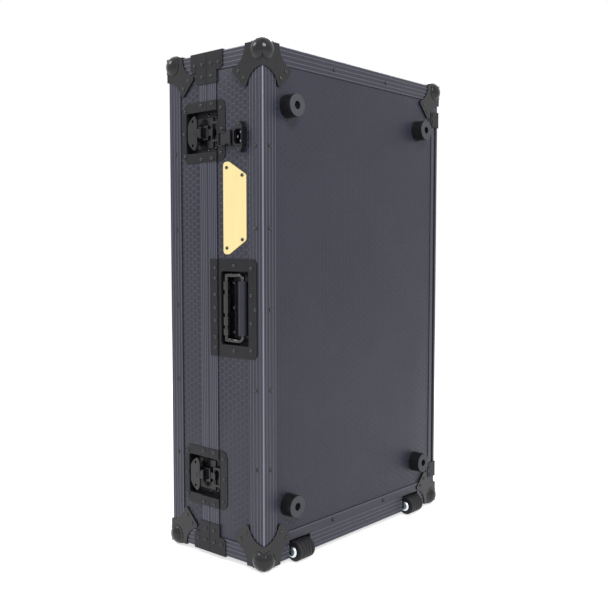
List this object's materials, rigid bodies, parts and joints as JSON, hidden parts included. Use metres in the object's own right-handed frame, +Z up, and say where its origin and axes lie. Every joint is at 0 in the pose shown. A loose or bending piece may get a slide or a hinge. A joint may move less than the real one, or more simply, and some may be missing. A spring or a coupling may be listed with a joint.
{
  "type": "flight case",
  "caption": "Flat flight case for a DJ controller, standing on its wheel end: plywood panels in ribbed edge extrusions, ball corners, recessed latches and handles, foam inside.",
  "frame": {"origin": "centre of the bounding box in plan, at the bottom of the lower ball corners that the case stands on", "axes": "+Z up along the case's long side, -Y out of the side with the carrying handle and the mains inlet, +X out of the underside with the rubber feet, -X out of the lid"},
  "size_m": [0.2503, 0.5205, 0.847],
  "materials": {
    "laminated_plywood": "satin embossed laminate",
    "anodised_extrusion": "fine satin, black anodised",
    "gloss_black_corner": "gloss",
    "black_steel_sheet": "semi-matt powder coat",
    "black_rod": "satin",
    "black_latch": "semi-matt powder coat",
    "grip_rubber": "matt",
    "foot_rubber": "matt",
    "bright_zinc": "bright zinc plate",
    "wheel_plastic": "matt",
    "inlet_plastic": "satin",
    "pin_brass": "polished",
    "badge_metal": "satin gold anodised",
    "grey_foam": "open-cell foam"
  },
  "bodies": {
    "case": {"base_bottom_panel": "laminated_plywood", "base_handle_side_panel": "laminated_plywood", "base_far_side_posts": "laminated_plywood", "base_wheel_end_panel": "laminated_plywood", "base_top_end_panel": "laminated_plywood", "access_panel_board": "laminated_plywood", "base_edge_extrusions": "anodised_extrusion", "base_corner_extrusions": "anodised_extrusion", "base_rim_extrusion": "anodised_extrusion", "access_panel_channel": "anodised_extrusion", "access_panel_rim": "anodised_extrusion", "access_frame": "anodised_extrusion", "base_ball_corners": "gloss_black_corner", "base_rim_brackets": "black_steel_sheet", "access_clips": "black_steel_sheet", "base_latch_dishes": "black_steel_sheet", "side_handle_dish": "black_steel_sheet", "end_handle_dish": "black_steel_sheet", "wheel_housings": "black_steel_sheet", "latch_keepers": "black_steel_sheet", "side_handle_hinge": "black_steel_sheet", "end_handle_hinge": "black_steel_sheet", "rubber_feet": "foot_rubber", "foot_screws": "bright_zinc", "axle_bolts": "bright_zinc", "inlet_body": "inlet_plastic", "inlet_pins": "pin_brass", "badge_plate": "badge_metal", "base_foam": "grey_foam"},
    "lid": {"lid_panel": "laminated_plywood", "lid_long_side_panels": "laminated_plywood", "lid_end_panels": "laminated_plywood", "lid_edge_extrusions": "anodised_extrusion", "lid_corner_extrusions": "anodised_extrusion", "lid_rim_extrusion": "anodised_extrusion", "lid_ball_corners": "gloss_black_corner", "lid_rim_brackets": "black_steel_sheet", "lid_latch_dishes": "black_steel_sheet", "lid_foam": "grey_foam", "latch_mechanism_plates": "black_steel_sheet"},
    "handle_low_rotor": {"latch_handle_low_rotor": "black_latch"},
    "handle_low_wing": {"latch_handle_low_wing": "black_latch"},
    "handle_low_hook": {"latch_handle_low_hook": "black_latch"},
    "handle_high_rotor": {"latch_handle_high_rotor": "black_latch"},
    "handle_high_wing": {"latch_handle_high_wing": "black_latch"},
    "handle_high_hook": {"latch_handle_high_hook": "black_latch"},
    "far_low_rotor": {"latch_far_low_rotor": "black_latch"},
    "far_low_wing": {"latch_far_low_wing": "black_latch"},
    "far_low_hook": {"latch_far_low_hook": "black_latch"},
    "far_high_rotor": {"latch_far_high_rotor": "black_latch"},
    "far_high_wing": {"latch_far_high_wing": "black_latch"},
    "far_high_hook": {"latch_far_high_hook": "black_latch"},
    "side_handle": {"side_handle_bail": "black_rod", "side_handle_grip": "grip_rubber"},
    "end_handle": {"end_handle_bail": "black_rod", "end_handle_grip": "grip_rubber"},
    "wheel_handle_side": {"wheel_handle_side": "wheel_plastic"},
    "wheel_far_side": {"wheel_far_side": "wheel_plastic"},
    "inlet_cover": {"inlet_cover": "inlet_plastic"}
  },
  "joints": [
    {"name": "lid_slide", "type": "slide", "parent": "case", "child": "lid", "axis": [-1, 0, 0], "range_m": [0, 0.3]},
    {"name": "handle_low_turn", "type": "hinge", "parent": "lid", "child": "handle_low_rotor", "pos_m": [-0.04075, -0.23825, 0.1355], "axis": [0, -1, 0], "range_deg": [0, 180]},
    {"name": "handle_low_wing_fold", "type": "hinge", "parent": "handle_low_rotor", "child": "handle_low_wing", "pos_m": [-0.04075, -0.24765, 0.1355], "axis": [0, 0, 1], "range_deg": [0, 90]},
    {"name": "handle_low_hook_slide", "type": "slide", "parent": "lid", "child": "handle_low_hook", "axis": [1, 0, 0], "range_m": [0, 0.0081]},
    {"name": "handle_high_turn", "type": "hinge", "parent": "lid", "child": "handle_high_rotor", "pos_m": [-0.04075, -0.23825, 0.7115], "axis": [0, -1, 0], "range_deg": [0, 180]},
    {"name": "handle_high_wing_fold", "type": "hinge", "parent": "handle_high_rotor", "child": "handle_high_wing", "pos_m": [-0.04075, -0.24765, 0.7115], "axis": [0, 0, 1], "range_deg": [0, 90]},
    {"name": "handle_high_hook_slide", "type": "slide", "parent": "lid", "child": "handle_high_hook", "axis": [1, 0, 0], "range_m": [0, 0.0081]},
    {"name": "far_low_turn", "type": "hinge", "parent": "lid", "child": "far_low_rotor", "pos_m": [-0.04075, 0.23975, 0.1685], "axis": [0, 1, 0], "range_deg": [0, 180]},
    {"name": "far_low_wing_fold", "type": "hinge", "parent": "far_low_rotor", "child": "far_low_wing", "pos_m": [-0.04075, 0.24915, 0.1685], "axis": [0, 0, -1], "range_deg": [0, 90]},
    {"name": "far_low_hook_slide", "type": "slide", "parent": "lid", "child": "far_low_hook", "axis": [1, 0, 0], "range_m": [0, 0.0081]},
    {"name": "far_high_turn", "type": "hinge", "parent": "lid", "child": "far_high_rotor", "pos_m": [-0.04075, 0.23975, 0.6785], "axis": [0, 1, 0], "range_deg": [0, 180]},
    {"name": "far_high_wing_fold", "type": "hinge", "parent": "far_high_rotor", "child": "far_high_wing", "pos_m": [-0.04075, 0.24915, 0.6785], "axis": [0, 0, -1], "range_deg": [0, 90]},
    {"name": "far_high_hook_slide", "type": "slide", "parent": "lid", "child": "far_high_hook", "axis": [1, 0, 0], "range_m": [0, 0.0081]},
    {"name": "side_handle_swing", "type": "hinge", "parent": "case", "child": "side_handle", "pos_m": [0.01575, -0.24325, 0.4235], "axis": [0, 0, -1], "range_deg": [0, 90], "stiffness_Nm_per_rad": 0.3, "springref_deg": -17.19},
    {"name": "end_handle_swing", "type": "hinge", "parent": "case", "child": "end_handle", "pos_m": [0.01575, 0.00075, 0.8315], "axis": [0, -1, 0], "range_deg": [0, 90], "stiffness_Nm_per_rad": 0.3, "springref_deg": -17.19},
    {"name": "wheel_handle_side_spin", "type": "hinge", "parent": "case", "child": "wheel_handle_side", "pos_m": [0.10675, -0.16325, 0.0195], "axis": [0, -1, 0], "continuous": true},
    {"name": "wheel_far_side_spin", "type": "hinge", "parent": "case", "child": "wheel_far_side", "pos_m": [0.10675, 0.16475, 0.0195], "axis": [0, -1, 0], "continuous": true},
    {"name": "inlet_cover_swing", "type": "hinge", "parent": "case", "child": "inlet_cover", "pos_m": [0.04035, -0.25825, 0.6961], "axis": [0, 0, 1], "range_deg": [0, 180]}
  ],
  "couplings": [
    {"joint": "handle_low_hook_slide", "follows": "handle_low_turn", "m_per_rad": 0.0025465},
    {"joint": "handle_high_hook_slide", "follows": "handle_high_turn", "m_per_rad": 0.0025465},
    {"joint": "far_low_hook_slide", "follows": "far_low_turn", "m_per_rad": 0.0025465},
    {"joint": "far_high_hook_slide", "follows": "far_high_turn", "m_per_rad": 0.0025465}
  ]
}
